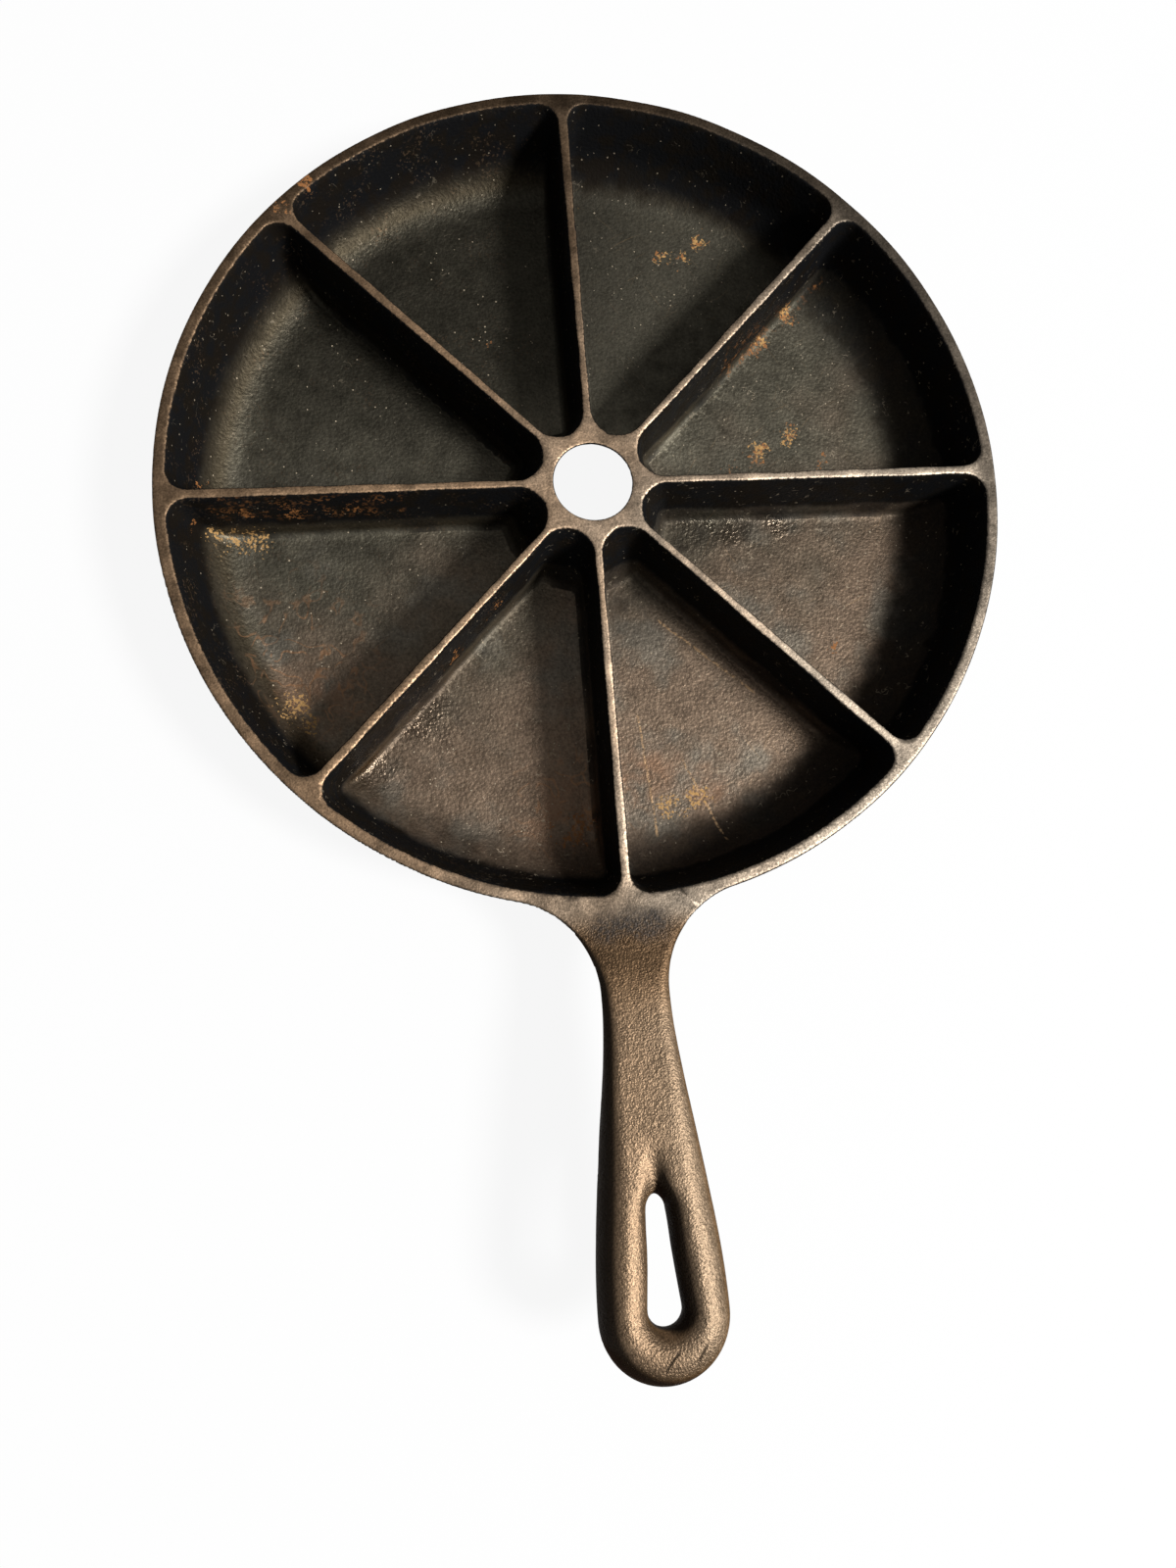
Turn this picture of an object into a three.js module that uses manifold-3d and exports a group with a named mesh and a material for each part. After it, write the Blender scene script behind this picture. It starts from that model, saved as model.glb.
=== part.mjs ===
// A cast-iron wedge pan: a round body divided into wedge pockets by straight ribs, with a hollow
// cone at the hub and a long handle that ends in a hanging loop.
// The real pan is a single casting. Here each member of it is a solid of its own, and a hairline
// seam stands between neighbours.
// Millimetres, +Z up, the base on z = 0 and the handle towards -Y. The origin is the middle of
// the pan's footprint.

import * as THREE from 'three';
import { mergeVertices } from 'three/addons/utils/BufferGeometryUtils.js';
import Module from 'manifold-3d';

const wasm = await Module();
wasm.setup();

const { degToRad, radToDeg, clamp } = THREE.MathUtils;

// Round body
const RIM_RADIUS = 117.5; // outer edge of the rim
const RIM_WIDTH = 3.6; // flat top of the rim
const RIM_EDGE = 0.8; // chamfer along the rim's outer edge
const BODY_HEIGHT = 26.5; // base to rim
const FLOOR_THICKNESS = 4;
const WALL_DRAFT = degToRad(17); // lean of the side wall from upright
const WALL_FILLET = 7; // side wall into the floor
const BASE_EDGE = 8; // round between the side wall and the base

// Pockets and the ribs between them
const POCKET_COUNT = 8;
const POCKET_CORNER = 4.3; // radius of a pocket's corners, seen from above
const RIB_WIDTH = 2.7; // across the top of a rib
const RIB_DRAFT = degToRad(6);
const RIB_FILLET = 4.5; // rib into the floor

// Hub
const BORE_RADIUS = 10.7; // at the level of the rim
const HUB_WIDTH = 3.9; // flat top of the hub, from the bore to a pocket
const HUB_DRAFT = degToRad(22);
const HUB_FILLET = 4; // hub into the floor
const HUB_FOOT_WALL = 2.4; // wall of the hollow cone at the level of the floor

// Handle
const HANDLE_REACH = 117.7; // rim to tip
const HANDLE_THICKNESS = 10.5;
const HANDLE_EDGE = 4.2; // round along every edge of the handle
const HANDLE_RISE = 9.5; // how far the tip lies above the rim
const ROOT_LAND = 10; // stretch beyond the rim that is level with it
const ROOT_FILLET = 26; // rim into the neck, seen from above
const NECK_WIDTH = 19;
const LOOP_WIDTH = 33.6;
const LOOP_SHOULDER = 10; // start of the loop to the narrow end of its hole
const BOW_LENGTH = 14.2; // round end of the hole to the tip of the handle
const HOLE_LENGTH = 32.3;
const HOLE_WIDTH = 8.8; // at the round end
const HOLE_TIP_RADIUS = 1.6; // at the narrow end

// Seam between neighbouring solids
const SEAM = 0.3;

// Facets of the round surfaces
const TURN_STEPS = 64;
const POCKET_ARC_STEPS = 6;
const HUB_ARC_STEPS = 2;
const CORNER_STEPS = 3;
const FILLET_STEPS = 4;
const EDGE_STEPS = 3;
const HANDLE_STEPS = 8;

// How far a cutter reaches past what it cuts
const CUT_MARGIN = 2;

// A round is at most this share of the largest that its walls leave room for
const ROUND_SHARE = 0.9;

const POCKET_DEPTH = BODY_HEIGHT - FLOOR_THICKNESS;
const POCKET_OUTER = RIM_RADIUS - RIM_WIDTH;
const HUB_RADIUS = BORE_RADIUS + HUB_WIDTH;
const HALF_POCKET = Math.PI / POCKET_COUNT;
const TIP_Y = -(RIM_RADIUS + HANDLE_REACH);
const NECK_Y = -Math.sqrt((RIM_RADIUS + ROOT_FILLET) ** 2 - (NECK_WIDTH / 2 + ROOT_FILLET) ** 2);
const LOOP_Y = TIP_Y + LOOP_WIDTH / 2;
const LIMB_WIDTH = (LOOP_WIDTH - HOLE_WIDTH) / 2;
const HOLE_TOP_Y = TIP_Y + BOW_LENGTH + HOLE_LENGTH;
const CUT_TOP = BODY_HEIGHT + HANDLE_RISE + HANDLE_THICKNESS;

// A closed mesh as a solid that can be joined and cut
function solid(geometry) {
  geometry.deleteAttribute('normal');
  geometry.deleteAttribute('uv');
  const merged = mergeVertices(geometry);
  const mesh = new wasm.Mesh({
    numProp: 3,
    vertProperties: new Float32Array(merged.attributes.position.array),
    triVerts: new Uint32Array(merged.index.array),
  });
  return new wasm.Manifold(mesh);
}

// A solid as geometry again
function geometryOf(body) {
  const { vertProperties, triVerts } = body.getMesh();
  const geometry = new THREE.BufferGeometry();
  geometry.setAttribute('position', new THREE.BufferAttribute(vertProperties, 3));
  geometry.setIndex(new THREE.BufferAttribute(triVerts, 1));
  geometry.computeVertexNormals();
  return geometry;
}

// A solid of revolution about Z, from points that hold a radius and a height
function turned(points) {
  return solid(new THREE.LatheGeometry(points, TURN_STEPS).rotateX(Math.PI / 2));
}

// A flat shape raised from one height to another
function raised(shape, bottom, top) {
  const flat = new THREE.ExtrudeGeometry(shape, { depth: top - bottom, bevelEnabled: false });
  return solid(flat.translate(0, 0, bottom));
}

// A closed solid through outlines of equally many points, listed from the lowest up
function lofted(rings) {
  const count = rings[0].outline.length;
  const top = (rings.length - 1) * count;
  const positions = rings.flatMap(({ outline, z }) => outline.flatMap(({ x, y }) => [x, y, z]));
  const indices = [];
  for (let start = 0; start < top; start += count) {
    for (let i = 0; i < count; i++) {
      const here = start + i;
      const next = start + ((i + 1) % count);
      indices.push(here, next, here + count, next, next + count, here + count);
    }
  }
  for (const [a, b, c] of THREE.ShapeUtils.triangulateShape(rings[0].outline, [])) {
    indices.push(c, b, a);
  }
  for (const [a, b, c] of THREE.ShapeUtils.triangulateShape(rings.at(-1).outline, [])) {
    indices.push(top + a, top + b, top + c);
  }
  const geometry = new THREE.BufferGeometry();
  geometry.setAttribute('position', new THREE.Float32BufferAttribute(positions, 3));
  geometry.setIndex(indices);
  return solid(geometry);
}

function arc(x, y, radius, from, to, steps) {
  return new THREE.EllipseCurve(x, y, radius, radius, from, to, to < from).getPoints(steps);
}

function onCircle(radius, angle) {
  return new THREE.Vector2(radius * Math.cos(angle), radius * Math.sin(angle));
}

// The outside of the round body, from the edge of the flat base up to the rim
function sidePoints(grow) {
  const wallFoot = BODY_HEIGHT - RIM_EDGE - BASE_EDGE;
  const footRadius = RIM_RADIUS - wallFoot * Math.tan(WALL_DRAFT);
  const centre = footRadius - BASE_EDGE / Math.cos(WALL_DRAFT);
  const round = arc(centre, BASE_EDGE, BASE_EDGE + grow, -Math.PI / 2, -WALL_DRAFT, FILLET_STEPS);
  return [...round, new THREE.Vector2(RIM_RADIUS + grow, BODY_HEIGHT - RIM_EDGE)];
}

// The round body before its pockets are cut: flat base, leaning side and flared bore
function roundBody() {
  const coneFoot = HUB_RADIUS + POCKET_DEPTH * Math.tan(HUB_DRAFT);
  const boreFlare = (coneFoot - HUB_FOOT_WALL - BORE_RADIUS) / POCKET_DEPTH;
  const boreFoot = new THREE.Vector2(BORE_RADIUS + BODY_HEIGHT * boreFlare, 0);
  const rimEdge = new THREE.Vector2(RIM_RADIUS - RIM_EDGE, BODY_HEIGHT);
  const boreTop = new THREE.Vector2(BORE_RADIUS, BODY_HEIGHT);
  return turned([boreFoot, ...sidePoints(0), rimEdge, boreTop, boreFoot]);
}

// How far a drafted wall has come in from its top edge at some depth, its floor fillet included
function wallRun(depth, draft, fillet) {
  const filletStart = POCKET_DEPTH - fillet * (1 - Math.sin(draft));
  if (depth <= filletStart) {
    return depth * Math.tan(draft);
  }
  const centre = filletStart * Math.tan(draft) + fillet * Math.cos(draft);
  const belowCentre = Math.min(depth - POCKET_DEPTH + fillet, fillet);
  return centre - Math.sqrt(fillet ** 2 - belowCentre ** 2);
}

// A pocket's walls at some depth: half of a rib beside it, its hub end and its rim end.
// The hub end stays where the two ribs leave room for it.
function pocketWalls(depth) {
  const rib = RIB_WIDTH / 2 + wallRun(depth, RIB_DRAFT, RIB_FILLET);
  const cone = HUB_RADIUS + wallRun(depth, HUB_DRAFT, HUB_FILLET);
  const meeting = (rib + RIB_WIDTH / 2) / Math.sin(HALF_POCKET);
  const outer = POCKET_OUTER - wallRun(depth, WALL_DRAFT, WALL_FILLET);
  return { rib, inner: Math.max(cone, meeting), outer };
}

// A pocket's outline at some depth: a wedge about +X with a hub arc, a rim arc and four round corners
function pocketOutline(depth) {
  const { rib, inner, outer } = pocketWalls(depth);
  const corner = POCKET_CORNER;
  const largest = (inner * Math.sin(HALF_POCKET) - rib) / (1 - Math.sin(HALF_POCKET));
  const hubCorner = Math.min(corner, ROUND_SHARE * largest);
  const outerTurn = HALF_POCKET - Math.asin((rib + corner) / (outer - corner));
  const hubTurn = HALF_POCKET - Math.asin((rib + hubCorner) / (inner + hubCorner));
  const far = onCircle(outer - corner, outerTurn);
  const near = onCircle(inner + hubCorner, hubTurn);
  const square = HALF_POCKET + Math.PI / 2;
  const full = 2 * Math.PI;
  return [
    ...arc(0, 0, outer, -outerTurn, outerTurn, POCKET_ARC_STEPS).slice(1),
    ...arc(far.x, far.y, corner, outerTurn, square, CORNER_STEPS).slice(1),
    ...arc(near.x, near.y, hubCorner, square, Math.PI + hubTurn, CORNER_STEPS),
    ...arc(0, 0, inner, hubTurn, -hubTurn, HUB_ARC_STEPS).slice(1),
    ...arc(near.x, -near.y, hubCorner, Math.PI - hubTurn, full - square, CORNER_STEPS).slice(1),
    ...arc(far.x, -far.y, corner, full - square, full - outerTurn, CORNER_STEPS),
  ];
}

// The space of one pocket, from its floor to just above the rim
function pocket() {
  const filletDepth = Math.max(WALL_FILLET, RIB_FILLET, HUB_FILLET);
  const depths = [-CUT_MARGIN];
  for (let step = 0; step <= FILLET_STEPS; step++) {
    const turn = (Math.PI / 2) * (step / FILLET_STEPS);
    depths.push(POCKET_DEPTH - filletDepth * (1 - Math.sin(turn)));
  }
  const rings = depths.map((depth) => ({ outline: pocketOutline(depth), z: BODY_HEIGHT - depth }));
  return lofted(rings.reverse());
}

// Everything between two radii and two heights
function band(inner, outer, bottom, top) {
  const corners = [[inner, bottom], [outer, bottom], [outer, top], [inner, top]];
  const points = corners.map(([radius, z]) => new THREE.Vector2(radius, z));
  return turned(inner > 0 ? [...points, points[0]] : points);
}

// A wedge of space about an angle, half a seam clear of its two side planes
function sector(angle) {
  const apex = SEAM / 2 / Math.sin(HALF_POCKET);
  const reach = (RIM_RADIUS + CUT_MARGIN) / Math.cos(HALF_POCKET);
  const corners = [onCircle(reach, -HALF_POCKET), onCircle(reach, HALF_POCKET)];
  const shape = new THREE.Shape([new THREE.Vector2(), ...corners]);
  return raised(shape, -CUT_MARGIN, BODY_HEIGHT + CUT_MARGIN)
    .translate([apex, 0, 0])
    .rotate([0, 0, radToDeg(angle)]);
}

// The middle of a pocket and the rib that comes before it, as angles about the hub
function pocketAngle(index) {
  return (2 * index + 1) * HALF_POCKET;
}

function ribAngle(index) {
  return 2 * index * HALF_POCKET;
}

// The round body with all its pockets
function castBody() {
  let body = roundBody();
  const space = pocket();
  for (let i = 0; i < POCKET_COUNT; i++) {
    body = body.subtract(space.rotate([0, 0, radToDeg(pocketAngle(i))]));
  }
  return body;
}

// One side of the handle, which widens from the neck to the loop along a smooth S
function neckToLoop() {
  const neck = NECK_WIDTH / 2;
  const loop = LOOP_WIDTH / 2;
  const ease = (NECK_Y - LOOP_Y) / 3;
  const start = new THREE.Vector2(neck, NECK_Y);
  const end = new THREE.Vector2(loop, LOOP_Y);
  const leave = new THREE.Vector2(neck, NECK_Y - ease);
  const arrive = new THREE.Vector2(loop, LOOP_Y + ease);
  return new THREE.CubicBezierCurve(start, leave, arrive, end).getPoints(HANDLE_STEPS);
}

// The handle's outline from above: a root that leaves the rim at a tangent, a neck and a round end.
// The root is carried in under the rim, as far as the leaning wall calls for, and trimmed later.
function handleShape() {
  const rootX = NECK_WIDTH / 2 + ROOT_FILLET;
  const leave = Math.atan2(-NECK_Y, -rootX);
  const sink = HANDLE_THICKNESS * Math.tan(WALL_DRAFT) + HANDLE_EDGE + CUT_MARGIN;
  const sunk = onCircle(RIM_RADIUS - sink, leave - Math.PI);
  const right = [
    sunk,
    ...arc(rootX, NECK_Y, ROOT_FILLET, leave, Math.PI, HANDLE_STEPS),
    ...neckToLoop().slice(1),
  ];
  const left = right.map(({ x, y }) => new THREE.Vector2(-x, y)).reverse();
  const end = arc(0, LOOP_Y, LOOP_WIDTH / 2, 0, -Math.PI, 2 * HANDLE_STEPS).slice(1, -1);
  const shape = new THREE.Shape([...right, ...end, ...left]);
  shape.holes.push(new THREE.Path(hangingHole()));
  return shape;
}

// The teardrop hole: a round end and a narrow end with their common tangents
function hangingHole() {
  const wide = HOLE_WIDTH / 2;
  const wideY = TIP_Y + BOW_LENGTH + wide;
  const narrowY = HOLE_TOP_Y - HOLE_TIP_RADIUS;
  const lean = Math.asin((wide - HOLE_TIP_RADIUS) / (narrowY - wideY));
  return [
    ...arc(0, narrowY, HOLE_TIP_RADIUS, lean, Math.PI - lean, HANDLE_STEPS),
    ...arc(0, wideY, wide, Math.PI - lean, 2 * Math.PI + lean, HANDLE_STEPS),
  ];
}

// How far the handle stands above the rim at some place along it: steep at first, level at the tip
function handleRise(y) {
  const landEnd = -(RIM_RADIUS + ROOT_LAND);
  const along = clamp((landEnd - y) / (landEnd - TIP_Y), 0, 1);
  return HANDLE_RISE * along * (2 - along);
}

// The whole handle: a plate with round edges, bent upwards and trimmed to the side of the body
function handle() {
  const thinnest = Math.min(HANDLE_THICKNESS, LIMB_WIDTH, BOW_LENGTH, NECK_WIDTH);
  const edge = Math.min(HANDLE_EDGE, (ROUND_SHARE * thinnest) / 2);
  const plate = new THREE.ExtrudeGeometry(handleShape(), {
    depth: HANDLE_THICKNESS - 2 * edge,
    bevelThickness: edge,
    bevelSize: edge,
    bevelOffset: -edge,
    bevelSegments: EDGE_STEPS,
  });
  plate.translate(0, 0, BODY_HEIGHT - HANDLE_THICKNESS + edge);
  const place = plate.attributes.position;
  for (let i = 0; i < place.count; i++) {
    place.setZ(i, place.getZ(i) + handleRise(place.getY(i)));
  }
  const side = sidePoints(SEAM);
  const above = [new THREE.Vector2(RIM_RADIUS + SEAM, CUT_TOP), new THREE.Vector2(0, CUT_TOP)];
  const envelope = turned([new THREE.Vector2(0, side[0].y), ...side, ...above]);
  return solid(plate).subtract(envelope);
}

// The stretch of the handle between two places along it
function handleBetween(body, from, to) {
  const length = from - to;
  const cutter = new THREE.BoxGeometry(2 * RIM_RADIUS, length - SEAM, 2 * CUT_TOP);
  return body.intersect(solid(cutter.translate(0, (from + to) / 2, 0)));
}

const SOOT = { color: 0x24221e, roughness: 0.75, metalness: 0.3 };
const WORN = { color: 0x4b4238, roughness: 0.55, metalness: 0.5 };
const BRONZED = { color: 0x574634, roughness: 0.5, metalness: 0.5 };

function named(name, body, finish) {
  const mesh = new THREE.Mesh(geometryOf(body), new THREE.MeshStandardMaterial(finish));
  mesh.name = name;
  return mesh;
}

// The members of the round body: hub, floors, ribs and side walls
function bodyParts() {
  const body = castBody();
  const { inner, outer } = pocketWalls(POCKET_DEPTH);
  const gap = SEAM / 2;
  const below = -CUT_MARGIN;
  const above = BODY_HEIGHT + CUT_MARGIN;
  const hub = body.intersect(band(0, inner - gap, below, above));
  const floors = body.intersect(band(inner + gap, outer - gap, below, FLOOR_THICKNESS - gap));
  const ribs = body.intersect(band(inner + gap, outer - gap, FLOOR_THICKNESS + gap, above));
  const walls = body.intersect(band(outer + gap, RIM_RADIUS + CUT_MARGIN, below, above));
  const parts = [named('hub_cone', hub, WORN)];
  for (let i = 0; i < POCKET_COUNT; i++) {
    const wedge = sector(pocketAngle(i));
    const number = i + 1;
    parts.push(named(`wedge_floor_${number}`, floors.intersect(wedge), SOOT));
    parts.push(named(`side_wall_${number}`, walls.intersect(wedge), SOOT));
    parts.push(named(`divider_rib_${number}`, ribs.intersect(sector(ribAngle(i))), WORN));
  }
  return parts;
}

// The members of the handle: its root at the rim, the shank and the hanging loop
function handleParts() {
  const whole = handle();
  const loopStart = HOLE_TOP_Y + LOOP_SHOULDER;
  return [
    named('handle_root', handleBetween(whole, 0, NECK_Y), BRONZED),
    named('handle_shank', handleBetween(whole, NECK_Y, loopStart), BRONZED),
    named('handle_loop', handleBetween(whole, loopStart, TIP_Y - SEAM), BRONZED),
  ];
}

const pan = new THREE.Group();
pan.add(...bodyParts(), ...handleParts());
pan.position.y = HANDLE_REACH / 2;

export default pan;
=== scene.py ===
# %% [markdown]
# # A cast-iron wedge pan
# The real pan is one iron casting: a round body with wedge pockets, a hollow hub and a long handle
# with a hanging hole. The CAD frame holds it as plain faceted members. This lesson gives it the soft
# edges, fillets and slight unevenness of a sand casting, and then its seasoned and worn finish.
# Everything is in the frame's own place and metres, so nothing has to be fitted afterwards.

# %% Load the frame
import math

import bpy
import numpy as np
import openvdb
from mathutils import Matrix, Vector


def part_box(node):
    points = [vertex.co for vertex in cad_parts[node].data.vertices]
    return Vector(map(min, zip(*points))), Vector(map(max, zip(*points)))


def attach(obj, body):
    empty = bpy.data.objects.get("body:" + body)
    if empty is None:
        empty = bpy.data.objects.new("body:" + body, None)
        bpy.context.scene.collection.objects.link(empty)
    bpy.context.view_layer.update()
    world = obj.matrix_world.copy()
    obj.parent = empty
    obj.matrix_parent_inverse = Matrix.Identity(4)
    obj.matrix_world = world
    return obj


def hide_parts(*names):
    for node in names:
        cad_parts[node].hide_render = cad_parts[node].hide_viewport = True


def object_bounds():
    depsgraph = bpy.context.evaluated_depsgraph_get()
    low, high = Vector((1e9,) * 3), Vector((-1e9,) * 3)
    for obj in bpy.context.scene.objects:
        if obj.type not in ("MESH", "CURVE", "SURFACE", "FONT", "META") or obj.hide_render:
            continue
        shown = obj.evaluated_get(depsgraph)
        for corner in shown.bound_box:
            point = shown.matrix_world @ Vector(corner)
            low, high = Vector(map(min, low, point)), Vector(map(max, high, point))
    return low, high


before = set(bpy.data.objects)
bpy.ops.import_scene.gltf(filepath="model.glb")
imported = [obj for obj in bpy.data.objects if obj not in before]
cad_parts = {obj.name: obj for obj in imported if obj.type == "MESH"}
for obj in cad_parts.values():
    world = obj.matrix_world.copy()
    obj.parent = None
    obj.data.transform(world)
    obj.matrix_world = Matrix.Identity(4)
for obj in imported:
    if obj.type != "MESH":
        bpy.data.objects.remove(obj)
cad_low, cad_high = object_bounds()
print("CAD box in metres:", list(cad_low), list(cad_high))

# %% [markdown]
# ## The camera
# The photograph looks down on the pan from above the handle, a little from the left. A camera is
# easiest to read as a place, a point that it looks at and the direction that is up in the picture.
# The focal length is given in pixels of the 1200 x 1600 picture, and Blender's 36 mm sensor spans
# the picture's longer side.

# %% Camera
PICTURE_HEIGHT = 1600
FOCAL_PIXELS = 1150
SENSOR = 36.0
CAMERA_PLACE = Vector((-0.0451, -0.0621, 0.3211))
CAMERA_AIM = Vector((-0.0081, -0.0250, 0.0265))
CAMERA_UP = Vector((0.0639, 0.9891, 0.1326))

lens = bpy.data.cameras.new("pan_camera")
lens.sensor_width = SENSOR
lens.lens = SENSOR * FOCAL_PIXELS / PICTURE_HEIGHT
lens.clip_start = 0.01
camera = bpy.data.objects.new("pan_camera", lens)
back = (CAMERA_PLACE - CAMERA_AIM).normalized()
right = CAMERA_UP.cross(back).normalized()
turn = Matrix((right, back.cross(right), back)).transposed()
camera.matrix_world = Matrix.Translation(CAMERA_PLACE) @ turn.to_4x4()
bpy.context.scene.collection.objects.link(camera)
bpy.context.scene.camera = camera
print(f"camera {lens.lens:.2f} mm, {CAMERA_PLACE.z * 1000:.0f} mm above the floor")

# %% [markdown]
# ## Sizes of the casting
# Shapes are worked out in millimetres with the hub's axis at zero, because that is how a pattern
# maker would lay the pan out. What the frame can tell is measured from it. The rest are the pan's
# own sizes, the same as in the CAD part, and the small rounds that a casting has.

# %% Sizes
MM = 1000.0
hub_low, hub_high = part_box("hub_cone")
loop_low, loop_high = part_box("handle_loop")
root_low, root_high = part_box("handle_root")
shank_low, shank_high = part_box("handle_shank")

HUB_Y = (hub_low.y + hub_high.y) / 2 * MM
BODY_HEIGHT = hub_high.z * MM
RIM_RADIUS = (cad_high.x - cad_low.x) / 2 * MM
TIP_Y = loop_low.y * MM - HUB_Y
NECK_Y = (root_low.y + shank_high.y) / 2 * MM - HUB_Y
LOOP_START_Y = (shank_low.y + loop_high.y) / 2 * MM - HUB_Y
LOOP_HALF = (loop_high.x - loop_low.x) / 2 * MM
LOOP_Y = TIP_Y + LOOP_HALF

FLOOR_LEVEL = 4.0
RIM_WIDTH = 3.6
WALL_DRAFT = math.radians(17)
RIB_DRAFT = math.radians(6)
HUB_DRAFT = math.radians(22)
BORE_DRAFT = math.radians(25.2)
BORE_RADIUS = 10.7
HUB_WIDTH = 3.9
POCKETS = 8
PITCH = 2 * math.pi / POCKETS
RIB_HALF = (1.1, 1.4)  # at the hub and at the rim
LIP = 0.7  # soft edge along every pocket and the bore
RIM_EDGE = 1.0
BASE_EDGE = 8.0
RIB_FOOT = 1.5  # fillet of a rib or the hub into the floor
POCKET_CORNER = 5.6  # round corner of a pocket at the top, where a rib meets the wall or the hub
WALL_FOOT = 10.0  # fillet of the side wall into the floor

HANDLE_THICKNESS = 10.5
HANDLE_EDGE = 4.6
LOOP_EDGE = 7.6
HOLE_EDGE = 6.4
LEAN_ENDS_Y = -175.0  # the draft of the wall fades out of the handle's flanks by here
HANDLE_RISE = 9.5
LAND_END_Y = -(RIM_RADIUS + 10.0)
NECK_HALF = 9.5
ROOT_FILLET = 26.0
ROOT_BLEND = 9.0  # width of the soft corner between the handle and the side wall
RIM_TANGENT = 29.0  # where the root's fillets leave the rim, from the handle's middle
ROOT_FADES = 12.0  # the soft corner fades out over this width before that
ROOT_DEPTHS = (1.0, 8.0)  # and grows along this depth, so that the top keeps its true fillets
HOLE_WIDE_Y = TIP_Y + 18.6
HOLE_NARROW_Y = TIP_Y + 42.4
HOLE_WIDE = 4.0
HOLE_NARROW = 1.6
print(f"rim {2 * RIM_RADIUS:.1f} mm across, tip {-TIP_Y:.1f} mm from the hub's axis")

# %% [markdown]
# ## A casting as a distance field
# The pan could be lofted face by face, but where ribs, hub, wall and handle run into each other every
# fillet would have to be built by hand. A distance field is a formula that tells, for any point, how
# far it lies from the metal: negative inside, positive outside. Cutting and joining are then the
# larger or the smaller of two distances, and a small change to that rule rounds the edge between
# them, which is just what moulding sand does to a casting.

# %% Field helpers
WAVES = 5  # sine waves in one ripple
WAVE_LENGTHS = (0.6, 1.7)  # their lengths, as shares of the ripple's own
WAVE_SUM = 3.2  # about the most that they add up to


def cut(first, second, radius):
    """What lies in both shapes, with a round outer edge where they meet."""
    corner = np.hypot(np.maximum(first + radius, 0), np.maximum(second + radius, 0))
    return np.minimum(-radius, np.maximum(first, second)) + corner


def melt(first, second, width):
    """What lies in either shape, run together where their distances differ by less than a width."""
    near = np.maximum(width - np.abs(first - second), 0)
    return np.minimum(first, second) - near * near / (4 * width)


def ease(low, high, value):
    """0 up to low, 1 from high on, and smooth between them."""
    share = np.clip((value - low) / (high - low), 0, 1)
    return share * share * (3 - 2 * share)


def leaning(distance, depth, draft):
    """A wall that moves outwards by its draft as it goes deeper."""
    return (distance + depth * math.tan(draft)) * math.cos(draft)


def waver(x, y, length, seed):
    """A slow seeded ripple between about -1 and 1: hand-rammed sand is never flat."""
    draw = np.random.default_rng(seed)
    total = 0.0
    for _ in range(WAVES):
        heading, phase = draw.uniform(0, 2 * math.pi, 2)
        pace = 2 * math.pi / (length * draw.uniform(*WAVE_LENGTHS))
        total = total + np.sin(pace * (x * math.cos(heading) + y * math.sin(heading)) + phase)
    return total / WAVE_SUM


print("ripple of the sand at the hub:", round(float(waver(0.0, 0.0, 30.0, 1)), 3))

# %% [markdown]
# ## The round body, its pockets and the bore
# The outside is a cone on a flat base. A pocket is the space between two ribs, the hub and the wall,
# down to the floor. All pockets are alike, so the angle about the hub is folded onto the nearest rib
# and one formula makes them all. The fillet at the foot is wide along the wall and narrow along the
# ribs, as the highlights in the photograph show.

# %% Round body
WAVE_LONG = 34.0
WAVE_SHORT = 15.0
FLOOR_WAVE = 0.16  # heights of the ripple on the floors, the ribs' sides and the top
RIB_WAVE = 0.12
TOP_WAVE = 0.1
HUB_RADIUS = BORE_RADIUS + HUB_WIDTH
WALL_RADIUS = RIM_RADIUS - RIM_WIDTH


def outer_wall(x, y, z):
    return leaning(np.hypot(x, y) - RIM_RADIUS, BODY_HEIGHT - z, WALL_DRAFT)


def rib_distance(x, y):
    """Distance from the middle of the nearest rib, and from the hub's axis."""
    radius = np.hypot(x, y)
    fold = np.abs((np.arctan2(y, x) + PITCH / 2) % PITCH - PITCH / 2)
    return radius * np.sin(fold), radius


def pockets(x, y, z):
    depth = BODY_HEIGHT - z
    from_rib, radius = rib_distance(x, y)
    along = ease(HUB_RADIUS, WALL_RADIUS, radius)
    half = RIB_HALF[0] + (RIB_HALF[1] - RIB_HALF[0]) * along + RIB_WAVE * waver(x, y, WAVE_SHORT, 2)
    rib = leaning(half - from_rib, depth, RIB_DRAFT)
    hub = leaning(HUB_RADIUS - radius, depth, HUB_DRAFT)
    wall = leaning(radius - WALL_RADIUS, depth, WALL_DRAFT)
    floor = FLOOR_LEVEL + FLOOR_WAVE * waver(x, y, WAVE_LONG, 3) - z
    bowl = cut(wall, floor, WALL_FOOT)
    corner = RIB_FOOT + (POCKET_CORNER - RIB_FOOT) * ease(FLOOR_LEVEL, BODY_HEIGHT, z)
    return cut(cut(bowl, rib, corner), hub, corner)


def bore(x, y, z):
    return leaning(np.hypot(x, y) - BORE_RADIUS, z - BODY_HEIGHT, BORE_DRAFT)


POCKET_MIDDLE = (62.0, 25.0)
off_floor = float(pockets(*POCKET_MIDDLE, FLOOR_LEVEL))
print(f"a point at floor level in the middle of a pocket lies {off_floor:.2f} mm from its skin")

# %% [markdown]
# ## The handle
# Seen from above the handle leaves the rim in two wide fillets, narrows to a neck and swells to a
# loop with a teardrop hole. Its top runs level with the rim at first and then rises. The outline, the
# teardrop and the rise are three flat formulas, and the thickness and round edges come from cutting
# them with the top and the underside. A soft groove runs from the hole's narrow end towards the pan.

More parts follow.
